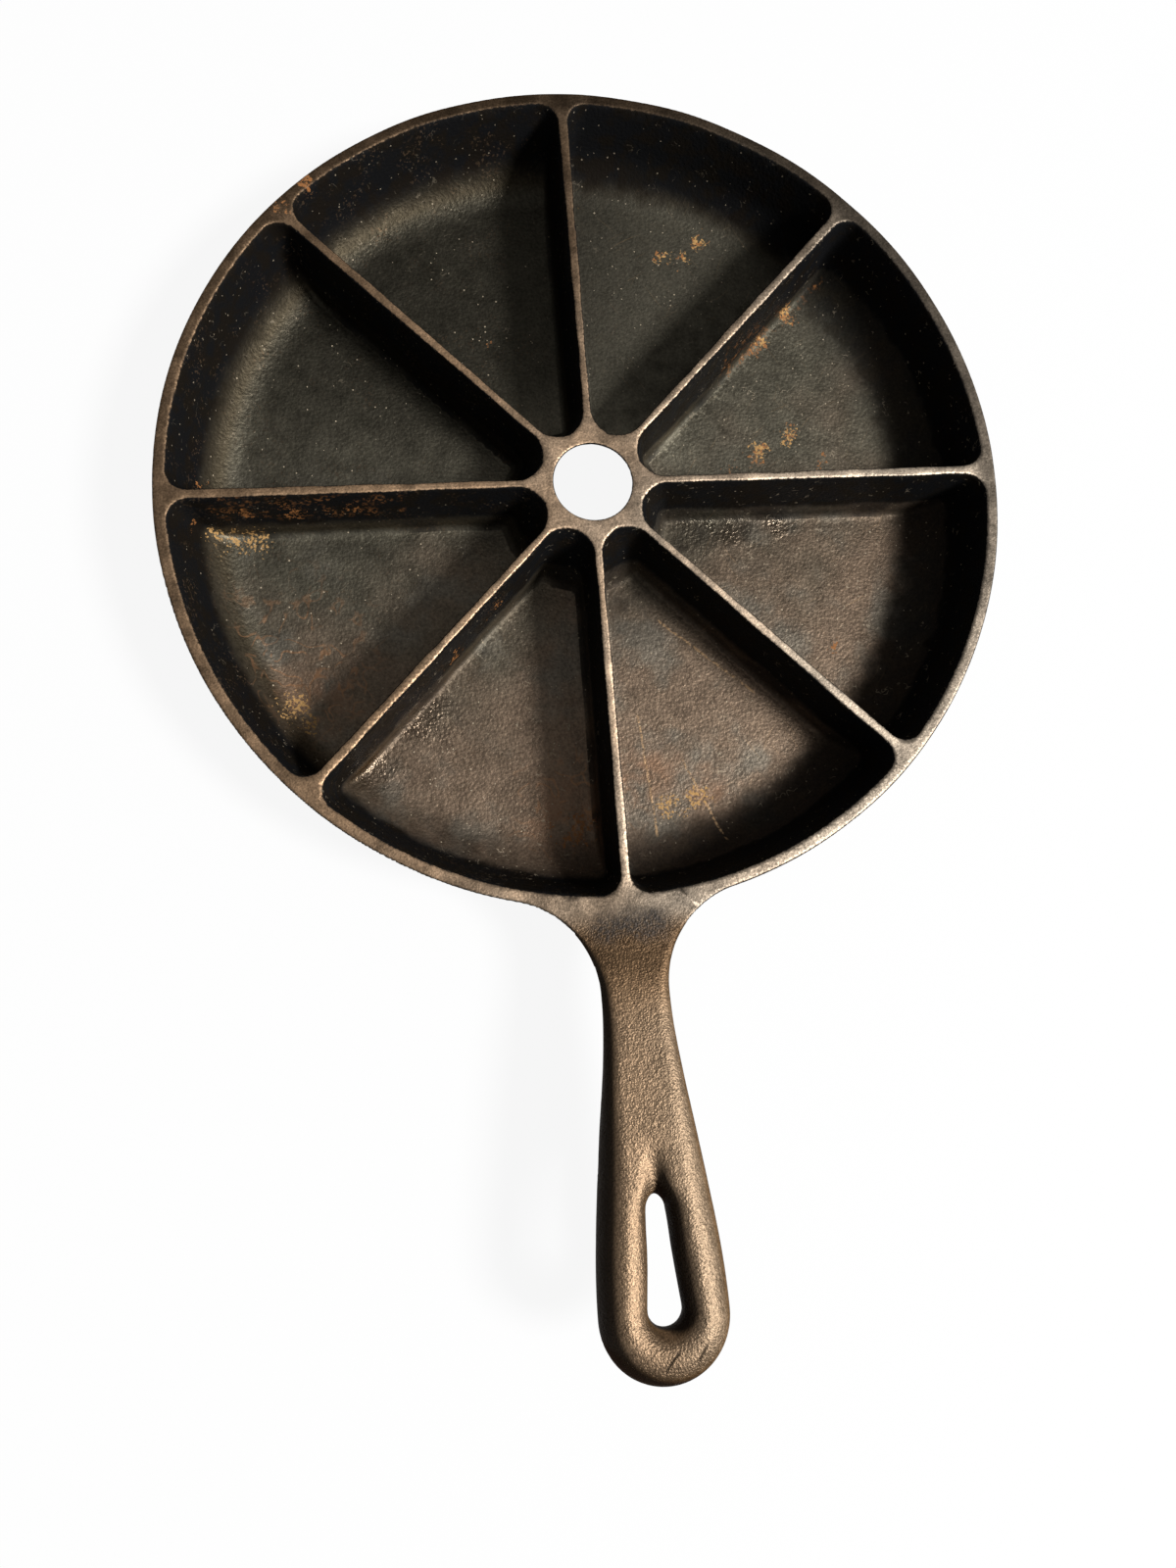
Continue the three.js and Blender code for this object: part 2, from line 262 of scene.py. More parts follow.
# %% Handle
NECK_ROUNDS = (116.0, 150.0)  # from the hub, the rim's edge turns into the handle's along this stretch
GROOVE_DEPTH = 4.0
GROOVE_HALF = 2.6
GROOVE_STARTS = (-14.0, -4.0)  # from the hole's narrow end towards the pan
GROOVE_RUNS_OUT = (-3.0, 19.0)


def handle_rise(y):
    along = np.clip((LAND_END_Y - y) / (LAND_END_Y - TIP_Y), 0, 1)
    return HANDLE_RISE * along * (2 - along)


def handle_outline(x, y, depth):
    across = np.abs(x)
    late = HANDLE_EDGE / 2 * ease(*NECK_ROUNDS, -y)
    lean = np.maximum(depth - late, 0) * math.tan(WALL_DRAFT)
    half = NECK_HALF + (LOOP_HALF - NECK_HALF) * ease(0, NECK_Y - LOOP_Y, NECK_Y - y)
    shank = across - half + lean * ease(LEAN_ENDS_Y, NECK_Y, y)
    loop = np.hypot(x, y - LOOP_Y) - LOOP_HALF
    centre = NECK_HALF + ROOT_FILLET
    flare = ROOT_FILLET + lean - np.hypot(np.maximum(centre - across, 0), y - NECK_Y)
    tangent = centre * (RIM_RADIUS - lean) / (RIM_RADIUS + ROOT_FILLET)
    root = np.maximum(flare, across - tangent)
    return np.where(y > NECK_Y, root, np.where(y < LOOP_Y, loop, shank))


def hanging_hole(x, y):
    across = np.abs(x)
    along = y - HOLE_WIDE_Y
    length = HOLE_NARROW_Y - HOLE_WIDE_Y
    lean = (HOLE_WIDE - HOLE_NARROW) / length
    side = math.sqrt(1 - lean * lean)
    reach = side * along - lean * across
    wide = np.hypot(across, along) - HOLE_WIDE
    narrow = np.hypot(across, along - length) - HOLE_NARROW
    between = side * across + lean * along - HOLE_WIDE
    return np.where(reach < 0, wide, np.where(reach > side * length, narrow, between))


def groove(x, y):
    along = y - HOLE_NARROW_Y
    deep = GROOVE_DEPTH * (1 - ease(*GROOVE_RUNS_OUT, along)) * ease(*GROOVE_STARTS, along)
    return deep * np.exp(-((x / GROOVE_HALF) ** 2))


print(f"top of the loop: {BODY_HEIGHT + float(handle_rise(TIP_Y)):.1f} mm above the floor")

# %% [markdown]
# ## The whole casting
# Body and handle are joined before the top is cut, so the rim runs into the handle in one flush face.
# The edge along the top is sharp on the rim and grows into the full round of the handle.

# %% Casting
LOOP_ROUNDS = (155.0, 195.0)  # the handle's edge grows to the full crown of the loop along this one
HANDLE_FROM_Y = -95.0  # the handle's plate ends here, inside the side wall
BARELY = 0.01
SLOPE_STEP = 0.05


def casting(x, y, z):
    ripple = TOP_WAVE * waver(x, y, WAVE_LONG, 1)
    above_top = z - BODY_HEIGHT - handle_rise(y) - ripple
    wall = outer_wall(x, y, z)
    plate = cut(handle_outline(x, y, -above_top), -above_top - HANDLE_THICKNESS, HANDLE_EDGE)
    plate = np.where(y > HANDLE_FROM_Y, RIM_RADIUS, plate)
    soft = ease(0, ROOT_FADES, RIM_TANGENT - np.abs(x)) * ease(*ROOT_DEPTHS, -above_top)
    sides = melt(cut(wall, -z, BASE_EDGE), plate, ROOT_BLEND * soft + BARELY)
    edge = RIM_EDGE + (HANDLE_EDGE - RIM_EDGE) * ease(*NECK_ROUNDS, -y)
    edge = edge + (LOOP_EDGE - HANDLE_EDGE) * ease(*LOOP_ROUNDS, -y)
    metal = cut(sides, above_top + groove(x, y), edge)
    metal = cut(metal, -hanging_hole(x, y), HOLE_EDGE)
    metal = cut(metal, -pockets(x, y, z), LIP)
    return cut(metal, -bore(x, y, z), LIP)


def outward(points):
    """The direction away from the metal at each point: the slope of the field."""
    slope = np.empty_like(points)
    for axis in range(3):
        shift = np.zeros(3)
        shift[axis] = SLOPE_STEP
        slope[:, axis] = casting(*(points + shift).T) - casting(*(points - shift).T)
    return slope / np.maximum(np.linalg.norm(slope, axis=1), 1e-9)[:, None]


in_neck = float(casting(0.0, NECK_Y, BODY_HEIGHT - HANDLE_EDGE))
print(f"field in the middle of the neck: {in_neck:.2f} mm")

# %% [markdown]
# ## From the field to a mesh
# The field is sampled on a fine grid, and OpenVDB, which comes with Blender, draws the skin where the
# distance is zero. Its adaptivity merges the small faces where the skin is flat, so the fine faces are
# left where the fillets and edges are. The grid blurs the sharpest edges a little, so each point then
# moves along the field's slope until its own distance is zero.

# %% Skin
VOXEL = 0.6
ADAPTIVITY = 0.02
MARGIN = 3.0
SLAB = 32  # rows of the grid that are worked out at a time
SETTLE_STEPS = 2
SETTLE_REACH = 0.25  # the furthest that a point moves in one step


def skin():
    low = np.array((-RIM_RADIUS, TIP_Y, 0.0)) - MARGIN
    high = np.array((RIM_RADIUS, RIM_RADIUS, BODY_HEIGHT + HANDLE_RISE)) + MARGIN
    count = np.ceil((high - low) / VOXEL).astype(int)
    xs, ys, zs = ((start + VOXEL * np.arange(n)).astype(np.float32) for start, n in zip(low, count))
    values = np.empty(count, np.float32)
    for row in range(0, count[0], SLAB):
        values[row:row + SLAB] = casting(xs[row:row + SLAB, None, None], ys[:, None], zs)
    grid = openvdb.FloatGrid(MARGIN)
    grid.copyFromArray(np.clip(values, -MARGIN, MARGIN))
    points, triangles, quads = grid.convertToPolygons(isovalue=0.0, adaptivity=ADAPTIVITY)
    return points * VOXEL + low, triangles.tolist() + quads.tolist()


def settle(points):
    for _ in range(SETTLE_STEPS):
        off = np.clip(casting(*points.T), -SETTLE_REACH, SETTLE_REACH)
        points = points - off[:, None] * outward(points)
    return points


rough_points, faces = skin()
points = settle(rough_points.astype(float))
blur = np.abs(casting(*rough_points.T)).max()
print(f"skin of {len(points)} points and {len(faces)} faces, up to {blur:.2f} mm off before it settles")

# %% [markdown]
# ## Members of the casting
# The frame keeps the pan as named members, and each gets its own piece here, so that a designer can
# pick out a rib or a floor. Cutting the one skin with a Boolean modifier keeps the pieces seamless:
# neighbours share the same cut, and the eye sees one casting. A mark on the skin's faces survives the
# cut, and tells the skin from the new cut faces.

# %% Cutters
HUB_CUT = 26.4  # radius that parts the hub from ribs and floors
WALL_CUT = 101.84  # radius that parts ribs and floors from the walls
FLOOR_CUT = 5.2  # height that parts the floors from the ribs
HANDLE_CUT = -121.0  # the handle begins here
FAR = 400.0
ARC_STEP = math.radians(4.5)


def arc(radius, start, end):
    count = round(abs(end - start) / ARC_STEP)
    angles = np.linspace(start, end, count + 1)
    return [(radius * math.cos(angle), radius * math.sin(angle)) for angle in angles]


def sector(inner, outer, middle):
    start, end = middle - PITCH / 2, middle + PITCH / 2
    return arc(outer, start, end) + arc(inner, end, start)


def across(low, high):
    return [(-FAR, low), (FAR, low), (FAR, high), (-FAR, high)]


def members():
    """Each node's plan outline, lowest and highest point, in millimetres about the hub."""
    yield "hub_cone", arc(HUB_CUT, 0, 2 * math.pi)[:-1], -FAR, FAR
    for number in range(1, POCKETS + 1):
        rib = (number - 1) * PITCH
        pocket = rib + PITCH / 2
        wall = [(x, max(y, HANDLE_CUT)) for x, y in sector(WALL_CUT, RIM_RADIUS + MARGIN * 2, pocket)]
        yield f"wedge_floor_{number}", sector(HUB_CUT, WALL_CUT, pocket), -FAR, FLOOR_CUT
        yield f"divider_rib_{number}", sector(HUB_CUT, WALL_CUT, rib), FLOOR_CUT, FAR
        yield f"side_wall_{number}", wall, -FAR, FAR
    yield "handle_root", across(NECK_Y, HANDLE_CUT), -FAR, FAR
    yield "handle_shank", across(LOOP_START_Y, NECK_Y), -FAR, FAR
    yield "handle_loop", across(-FAR, LOOP_START_Y), -FAR, FAR


print("members:", ", ".join(name for name, *_ in members()))

# %% [markdown]
# ## Pieces with true normals
# The faces are flat, but the field knows the exact slope of the surface everywhere. Giving each
# corner of the skin that slope as its normal lets light run over the facets as over a smooth casting.

# %% Pieces
def to_frame(points):
    return (points + (0.0, HUB_Y, 0.0)) / MM


def in_pan(points):
    return points * MM - (0.0, HUB_Y, 0.0)


def new_object(name, points, faces):
    mesh = bpy.data.meshes.new(name)
    mesh.from_pydata(to_frame(np.array(points, float)).tolist(), [], faces)
    made = bpy.data.objects.new(name, mesh)
    bpy.context.scene.collection.objects.link(made)
    return made


def prism(plan, low, high):
    count = len(plan)
    corners = [(x, y, level) for level in (low, high) for x, y in plan]
    sides = [[i, (i + 1) % count, count + (i + 1) % count, count + i] for i in range(count)]
    ends = [list(range(count))[::-1], list(range(count, 2 * count))]
    return new_object("cutter", corners, sides + ends)


def true_normals(mesh):
    count = len(mesh.vertices)
    places = np.empty(count * 3)
    mesh.vertices.foreach_get("co", places)
    slopes = outward(in_pan(places.reshape(count, 3)))
    normals = []
    for face in mesh.polygons:
        on_skin = mesh.attributes["skin"].data[face.index].value > 0.5
        normals.extend(slopes[corner] if on_skin else face.normal for corner in face.vertices)
    mesh.shade_smooth()
    mesh.normals_split_custom_set([tuple(normal) for normal in normals])


def carve(whole, name, plan, low, high):
    cutter = prism(plan, low, high)
    change = whole.modifiers.new("carve", "BOOLEAN")
    change.operation = "INTERSECT"
    change.solver = "MANIFOLD"
    change.object = cutter
    graph = bpy.context.evaluated_depsgraph_get()
    mesh = bpy.data.meshes.new_from_object(whole.evaluated_get(graph), depsgraph=graph)
    whole.modifiers.remove(change)
    bpy.data.objects.remove(cutter)
    true_normals(mesh)
    mesh.attributes.remove(mesh.attributes["skin"])
    mesh.materials.clear()
    piece = bpy.data.objects.new(f"{name}_iron", mesh)
    bpy.context.scene.collection.objects.link(piece)
    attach(piece, "root")
    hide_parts(name)
    return piece


whole = new_object("whole_casting", points, faces)
mark = whole.data.attributes.new("skin", "FLOAT", "FACE")
mark.data.foreach_set("value", np.ones(len(faces), np.float32))
pieces = {name: carve(whole, name, plan, low, high) for name, plan, low, high in members()}
bpy.data.objects.remove(whole)
print(f"{len(pieces)} pieces with {sum(len(piece.data.polygons) for piece in pieces.values())} faces")

# %% [markdown]
# ## Sums with sockets
# A finish is mostly arithmetic on masks, and a node for each sum is tedious to write. This small class
# wraps a node's output, so that masks can be added, multiplied and compared like numbers in Python,
# and each operation adds its own Math node. Every other kind of node comes from one method.

# %% Shader bench
MIX_COLOURS = (6, 7)  # sockets of a Mix node that is set to colours
MIX_RESULT = 2


class Wire:
    """A node's output. Arithmetic on it adds Math nodes."""

    def __init__(self, bench, socket):
        self.bench = bench
        self.socket = socket

    def __add__(self, other):
        return self.bench.math("ADD", self, other)

    def __sub__(self, other):
        return self.bench.math("SUBTRACT", self, other)

    def __rsub__(self, other):
        return self.bench.math("SUBTRACT", other, self)

    def __mul__(self, other):
        return self.bench.math("MULTIPLY", self, other)

    def __truediv__(self, other):
        return self.bench.math("DIVIDE", self, other)

    def __abs__(self):
        return self.bench.math("ABSOLUTE", self)

    __radd__ = __add__
    __rmul__ = __mul__


class Bench:
    """The nodes of one material or world, which feed its shader."""

    def __init__(self, owner, shader):
        self.tree = owner.node_tree
        self.shader = shader

    def node(self, kind, settings, sockets, output=0):
        made = self.tree.nodes.new(kind)
        for name, value in settings.items():
            setattr(made, name, value)
        for name, value in sockets.items():
            if isinstance(value, Wire):
                self.tree.links.new(value.socket, made.inputs[name])
            else:
                made.inputs[name].default_value = value
        return Wire(self, made.outputs[output])

    def math(self, operation, *values):
        return self.node("ShaderNodeMath", {"operation": operation}, dict(enumerate(values)))

    def parts(self, vector):
        return [self.node("ShaderNodeSeparateXYZ", {}, {0: vector}, axis) for axis in "XYZ"]

    def ease(self, low, high, value):
        """0 at low, 1 at high and smooth between them. Low may be the larger one."""
        sockets = {"Value": value, "From Min": low, "From Max": high}
        return self.node("ShaderNodeMapRange", {"interpolation_type": "SMOOTHSTEP"}, sockets)

    def blend(self, share, first, second):
        """The first colour where share is 0 and the second where it is 1."""
        sockets = {0: share}
        for index, colour in zip(MIX_COLOURS, (first, second)):
            sockets[index] = colour if isinstance(colour, Wire) else (*colour, 1.0)
        return self.node("ShaderNodeMix", {"data_type": "RGBA"}, sockets, MIX_RESULT)

    def scale(self, colour, amount):
        """A colour made brighter or darker."""
        return self.node("ShaderNodeVectorMath", {"operation": "SCALE"}, {0: colour, "Scale": amount})

    def most(self, masks):
        """The largest of several masks."""
        total = masks[0]
        for mask in masks[1:]:
            total = self.math("MAXIMUM", total, mask)
        return total

    def seen_directly(self):
        """1 for the camera and in reflections, 0 for light that falls on something."""
        rays = ("Is Camera Ray", "Is Glossy Ray", "Is Transmission Ray")
        return self.most([self.node("ShaderNodeLightPath", {}, {}, ray) for ray in rays])

    def feed(self, name, value):
        self.tree.links.new(value.socket, self.shader.inputs[name])


print("a bench holds a material's nodes and sums")

# %% [markdown]
# ## Places on the casting
# The pan is one casting, so one finish covers all of it, and the looks run into each other without a
# seam. What changes from place to place is told by where a point is: how far from the hub, how high,
# and which way the surface faces. A few clouds of noise, from a hand's breadth down to dust, are
# shared by all the layers, so that a pit is dark, rough and deep at the same spot.

# %% Iron bench
CLOUD_SIZE = 26.0
PATCH_SIZE = 5.0
PEBBLE_SIZE = 0.95
DUST_SIZE = 0.5
HANDLE_LOOKS = (-117.0, -125.0)  # the handle's finish takes over along this stretch
STROKE_WAVER = 1.4
RAGGED = 9.0  # how far noise shoves the edge of a stained place, and the size of that noise
RAGGED_SIZE = 4.5


class IronBench(Bench):
    """A bench with the pan's own measures, in millimetres about the hub."""

    def __init__(self, material):
        super().__init__(material, material.node_tree.nodes["Principled BSDF"])
        bare = self.node("ShaderNodeTexCoord", {}, {}, "Object")
        sockets = {0: bare, 1: (MM, MM, MM), 2: (0.0, -HUB_Y, 0.0)}
        self.place = self.node("ShaderNodeVectorMath", {"operation": "MULTIPLY_ADD"}, sockets)
        self.x, self.y, self.z = self.parts(self.place)
        facing = self.node("ShaderNodeNewGeometry", {}, {}, "Normal")
        self.lean_x, self.lean_y, self.lean_z = self.parts(facing)
        self.radius = self.math("SQRT", self.x * self.x + self.y * self.y)
        self.outwards = (self.lean_x * self.x + self.lean_y * self.y) / self.radius
        self.on_handle = self.ease(*HANDLE_LOOKS, self.y)
        self.cloud = self.noise(CLOUD_SIZE, seed=1.0)
        self.patch = self.noise(PATCH_SIZE, seed=2.0, detail=3.0)
        self.pebble = self.noise(PEBBLE_SIZE, seed=3.0)
        self.dust = self.noise(DUST_SIZE, seed=4.0, detail=1.0)
        cells = {"Vector": self.place, "Scale": 1 / RAGGED_SIZE, "Detail": 2.0}
        shove = self.node("ShaderNodeTexNoise", {}, cells, "Color")
        sockets = {0: shove, 1: (RAGGED,) * 3, 2: (-RAGGED / 2,) * 3}
        shove = self.node("ShaderNodeVectorMath", {"operation": "MULTIPLY_ADD"}, sockets)
        sockets = {0: self.place, 1: shove}
        self.ragged = self.node("ShaderNodeVectorMath", {"operation": "ADD"}, sockets)

    def near(self, x, y, reach, z=FLOOR_LEVEL):
        """1 at a place, down to 0 at about a reach from it, with a ragged edge."""
        sockets = {0: self.ragged, 1: (x, y, z)}
        away = self.node("ShaderNodeVectorMath", {"operation": "DISTANCE"}, sockets, "Value")
        return self.ease(reach, reach * 0.1, away)

    def near_any(self, places):
        return self.most([self.near(*place) for place in places])

    def noise(self, size, seed, detail=2.0):
        """Cloudy values about 0.5, with lumps of a size in millimetres."""
        sockets = {"Vector": self.place, "W": seed, "Scale": 1 / size, "Detail": detail}
        return self.node("ShaderNodeTexNoise", {"noise_dimensions": "4D"}, sockets)

    def bump(self, height, depth):
        """Feeds a height from 0 to 1 as a relief some millimetres deep."""
        sockets = {"Height": height, "Distance": depth / MM}
        self.feed("Normal", self.node("ShaderNodeBump", {}, sockets, "Normal"))

    def stroke(self, start, end, width):
        """1 along a thin wavering line on the plan, 0 beside it."""
        run = Vector(end) - Vector(start)
        heading = run.normalized()
        along = (self.x - start[0]) * heading.x + (self.y - start[1]) * heading.y
        across = (self.y - start[1]) * heading.x - (self.x - start[0]) * heading.y
        across = across + (self.patch - 0.5) * STROKE_WAVER
        ends = self.ease(-1.0, 1.0, along) * self.ease(run.length + 1.0, run.length - 1.0, along)
        return self.ease(width, width * 0.3, abs(across)) * ends


print("an iron bench measures places about the hub")

# %% [markdown]
# ## Bare worn iron
# Hands, cloths and stacking rub the seasoning off everything that stands highest: the rim, the ribs,
# the hub and the handle. What is left is satin metal, greyer on the right-hand side and browner on the
# left. The ribs are rubbed most. Their brightness and the rim's are also painted higher towards the near
# right, where the lamp's reflection falls, and lower on the far side: painted highlight and painted
# shade. On the handle the bare part is the side that faces the lamp, which is painted light, the rest
# keeps a dark colour as painted shade, and slopes that turn from the lamp take a deeper bronze, which
# is painted shade too.

# %% Worn iron
WORN_BROWN = (0.42, 0.275, 0.165)
WORN_GREY = (0.42, 0.345, 0.265)
BRONZE = (0.28, 0.19, 0.118)
BRONZE_PALE = (0.24, 0.173, 0.114)
BRONZE_DEEP = (0.25, 0.155, 0.085)
RUBBED_HEIGHTS = (24.6, 25.9)
LEVEL = (0.7, 0.99)  # upward share of the normal at which a top is bare
GREY_SIDE = (-60.0, 90.0)  # wear turns from brown to grey on the way to the right
PALE_SIDE = (-4.0, 14.0)  # and so does the bronze, across the handle
# The far ribs are painted duller, as painted shade, and the near ones brighter, as painted highlight
# where the lamp's reflection falls.
FAR_RIBS = (0.0, 50.0)  # the far ribs are duller, the near ones brighter
NEAR_RIBS = (5.0, 40.0)
RIB_DULLS = (45.0, 95.0)  # radii along which each rib gets duller
ROOT_SIDES = (32.0, 12.0)
NEAR_HALF = (0.0, -60.0)
RIM_INSIDE = (109.0, 113.5)  # radii between which the ribs' wear turns into the rim's
NECK_ENDS = (-150.0, -132.0)
LAND_FADES = (-124.0, -147.0)  # the land at the root is darker than the handle beyond it
BOW_DARKENS = (-220.0, -231.0)  # and so is the far end of the loop


def worn_and_lit_share(bench):
    ragged = (bench.patch - 0.5) * 1.2
    flat = bench.ease(*LEVEL, bench.lean_z + (bench.pebble - 0.5) * 0.5)
    top = bench.ease(*RUBBED_HEIGHTS, bench.z + ragged) * flat
    # On the handle the bare crown is the part that faces up and towards the lamp on the right, which is
    # painted light. The faces turned away keep the dark flank colour, which is painted shade.
    rubbed = bench.lean_z + bench.lean_x * 0.8 + bench.lean_y * 0.3
    lit_crown = bench.ease(0.4, 0.9, rubbed) * bench.ease(0.15, 0.5, bench.lean_z)
    return top + bench.on_handle * (lit_crown - top)


def worn_and_lit_iron(bench):
    sideways = bench.x - bench.y * 0.3 + (bench.cloud - 0.5) * 120
    pan = bench.blend(bench.ease(*GREY_SIDE, sideways), WORN_BROWN, WORN_GREY)
    handle = bench.blend(bench.ease(*PALE_SIDE, bench.x), BRONZE, BRONZE_PALE)
    neck = bench.ease(*NECK_ENDS, bench.y)
    # Slopes of the handle that turn away from the lamp take the deeper bronze, which is painted shade.
    # The neck has that deeper colour of its own.
    slope = bench.ease(0.98, 0.7, bench.lean_z + bench.math("MAXIMUM", bench.lean_x, 0.0) * 0.35)
    handle = bench.blend(bench.most([slope, neck]), handle, BRONZE_DEEP)
    rim = bench.ease(*RIM_INSIDE, bench.radius)
    far_rib_shade = bench.ease(*FAR_RIBS, bench.y - abs(bench.x) * 0.8)
    near_rib_highlight = bench.ease(*NEAR_RIBS, bench.x * 0.6 - bench.y * 0.8)
    outer_rib = bench.ease(*RIB_DULLS, bench.radius)
    # The ribs are rubbed most, and on top of that they are painted brighter towards the near right and
    # duller on the far side: painted highlight and painted shade.
    rib_wear_and_painted_light = 1.25 + 0.38 * near_rib_highlight - 0.3 * outer_rib - 0.45 * far_rib_shade
    at_root = bench.ease(*ROOT_SIDES, abs(bench.x)) * bench.ease(*NEAR_HALF, bench.y)
    # The rim is painted brighter towards the near right and darker on the far side, as painted highlight
    # and painted shade, and it is darker near the handle's root.
    rim_wear_and_painted_light = 0.6 - 0.4 * (bench.x * 0.26 + bench.y * 0.97) / bench.radius - 0.3 * at_root
    pan_wear_and_painted_light = rib_wear_and_painted_light + rim * (rim_wear_and_painted_light - rib_wear_and_painted_light)
    along = bench.ease(*LAND_FADES, bench.y)
    handle_lift = 0.42 + 0.6 * along - 0.26 * bench.ease(*BOW_DARKENS, bench.y)
    lift = pan_wear_and_painted_light + bench.on_handle * (handle_lift - pan_wear_and_painted_light)
    blotches = 1 + (1.8 - 1.1 * bench.on_handle) * (bench.patch - 0.5)
    pores = 1 + 1.1 * (bench.pebble - 0.5)
    speckle = 1 + 1.5 * (bench.dust - 0.5)
    return bench.scale(bench.blend(bench.on_handle, pan, handle), lift * (blotches * pores) * speckle)


print("worn iron on rim, ribs, hub and handle")

# %% [markdown]
# ## Seasoned floors and sooty walls
# Baked oil leaves a thin dark skin on the pocket floors, olive on the far side and browner towards
# the handle, and it fills up with crumbs and soot near the hub. The far-left floors are painted darker
# as painted shade, and the hub's end of the far floors paler as painted light in the shadows there.
# The steep walls collect dead black soot, which starts at a ragged height above the fillets. Along the
# wall on the right the floor is painted black, as painted shadow of the wall. The outside is dark all
# over.

# %% Floors and walls
OLIVE = (0.132, 0.119, 0.088)
BROWN = (0.217, 0.156, 0.109)
SOOT = (0.0072, 0.0074, 0.008)
SOOT_BROWN = (0.0095, 0.0076, 0.0058)
OUTSIDE = (0.06, 0.05, 0.04)
BARE_GREY = (0.19, 0.172, 0.138)
GREASY = (0.085, 0.066, 0.04)
GREASY_PLACES = [
    (34.0, -7.0, 11.0), (46.0, -6.5, 9.0), (58.0, -6.5, 7.0),
    (-52.0, -58.0, 13.0), (-66.0, -72.0, 11.0),
]
SMOKY_PLACES = [(12.0, -30.0, 15.0), (36.0, -7.5, 9.0), (47.0, -7.0, 8.0), (29.0, -11.0, 7.0)]
BROWN_SIDE = (-20.0, 60.0)  # olive turns to brown on the way to the handle
BARE_SIDE = (30.0, -20.0)  # bare patches are on the near floors
GREASY_SIDE = (40.0, -20.0)  # and greasy fillets towards the far left
# The hub's end of the far floors is painted paler: painted light in the shadows there.
HUB_END = (46.0, 28.0)  # radii, the hub's end of the far floors is paler
FAR_HALF = (0.0, 25.0)
SHADOWED_SIDE = (-10.0, 60.0)  # the floors on the right are painted black along the wall, as painted shadow of the wall
FOOT_HEIGHTS = (4.2, 6.5)  # the fillets at the foot of the walls, where grease stays
SOOT_CLIMBS = (5.6, 12.0)  # heights between which the walls turn black
WALL_SHADOW_RADII = (90.0, 101.0)  # and this is where
FLAT_RADII = (97.0, 90.0)  # the floors are level inside these
OUTER_RADII = (88.0, 96.0)  # a face that looks outwards beyond these is the outside


def seasoned_floor(bench):
    towards_handle = bench.x * 0.3 - bench.y * 0.95 + (bench.cloud - 0.5) * 130
    colour = bench.blend(bench.ease(*BROWN_SIDE, towards_handle), OLIVE, BROWN)
    bare = bench.ease(0.48, 0.66, bench.noise(15.0, seed=5.0, detail=3.0))
    rubbed = bare * bench.ease(*BARE_SIDE, bench.y)
    colour = bench.blend(rubbed * 0.7, colour, BARE_GREY)
    foot = bench.ease(*FOOT_HEIGHTS, bench.z) * bench.ease(*GREASY_SIDE, bench.x - bench.y)
    colour = bench.blend(foot * 0.8, colour, GREASY)
    # The far-left floors are painted darker, as painted shade, and the hub's end of the far floors
    # paler, as painted light in the shadows there. The floors on the right are a little darker.
    far_left_shade = bench.ease(0.45, 0.9, (bench.y * 0.85 - bench.x * 0.53) / (bench.radius + 12))
    right = bench.ease(0.78, 0.97, (bench.x * 0.906 - bench.y * 0.42) / bench.radius)
    painted_hub_light = bench.ease(*HUB_END, bench.radius) * bench.ease(*FAR_HALF, bench.y)
    painted_light_and_shade = (1 - 0.6 * far_left_shade) * (1 - 0.15 * right) * (1 + 0.8 * painted_hub_light)
    pits = (1 + 1.2 * (bench.pebble - 0.5)) * (1 + 0.8 * (bench.dust - 0.5))
    return bench.scale(colour, painted_light_and_shade * pits * (0.5 + bench.patch))


def soot_share(bench):
    far_right = bench.ease(0.86, 0.95, (bench.x * 0.39 + bench.y * 0.92) / bench.radius)
    climb = bench.ease(*SOOT_CLIMBS, bench.z + (bench.patch - 0.5) * 6 + far_right * 4)
    # Along the outer wall on the right the floor is painted black, as painted shadow of the wall.
    right = bench.ease(*SHADOWED_SIDE, bench.x * 0.95 - bench.y * 0.3)
    painted_wall_shadow = bench.ease(*WALL_SHADOW_RADII, bench.radius + (bench.patch - 0.5) * 16) * right * 0.85
    in_bore = bench.ease(HUB_RADIUS + 0.5, HUB_RADIUS - 0.5, bench.radius)
    bend = bench.ease(0.995, 0.95, bench.lean_z) * bench.ease(*FLAT_RADII, bench.radius)
    rib_foot = bend * (0.35 + 0.5 * bench.ease(0.4, 0.6, bench.cloud))
    smoky = bench.near_any(SMOKY_PLACES) * bench.ease(0.3, 0.6, bench.patch)
    return bench.most([climb, painted_wall_shadow, rib_foot, smoky * 0.8, in_bore])


def outside_share(bench):
    under = bench.ease(-0.1, -0.5, bench.lean_z)
    side = bench.ease(0.1, 0.4, bench.outwards) * bench.ease(*OUTER_RADII, bench.radius)
    return bench.most([under, side])


print("seasoned floors, soot and the outside")

# %% [markdown]
# ## Rust, specks and scratches
# A pan that has stood damp shows rust where moisture stays: near the feet of walls and ribs, and where
# the seasoning is scratched. Places follow the photograph. Rust starts as separate grains, so
# a place only makes grains of fine noise more likely near it. Bits of salt and flour shine as tiny
# pale specks, and thin brown lines wander over the floors, where the skin of oil has cracked.

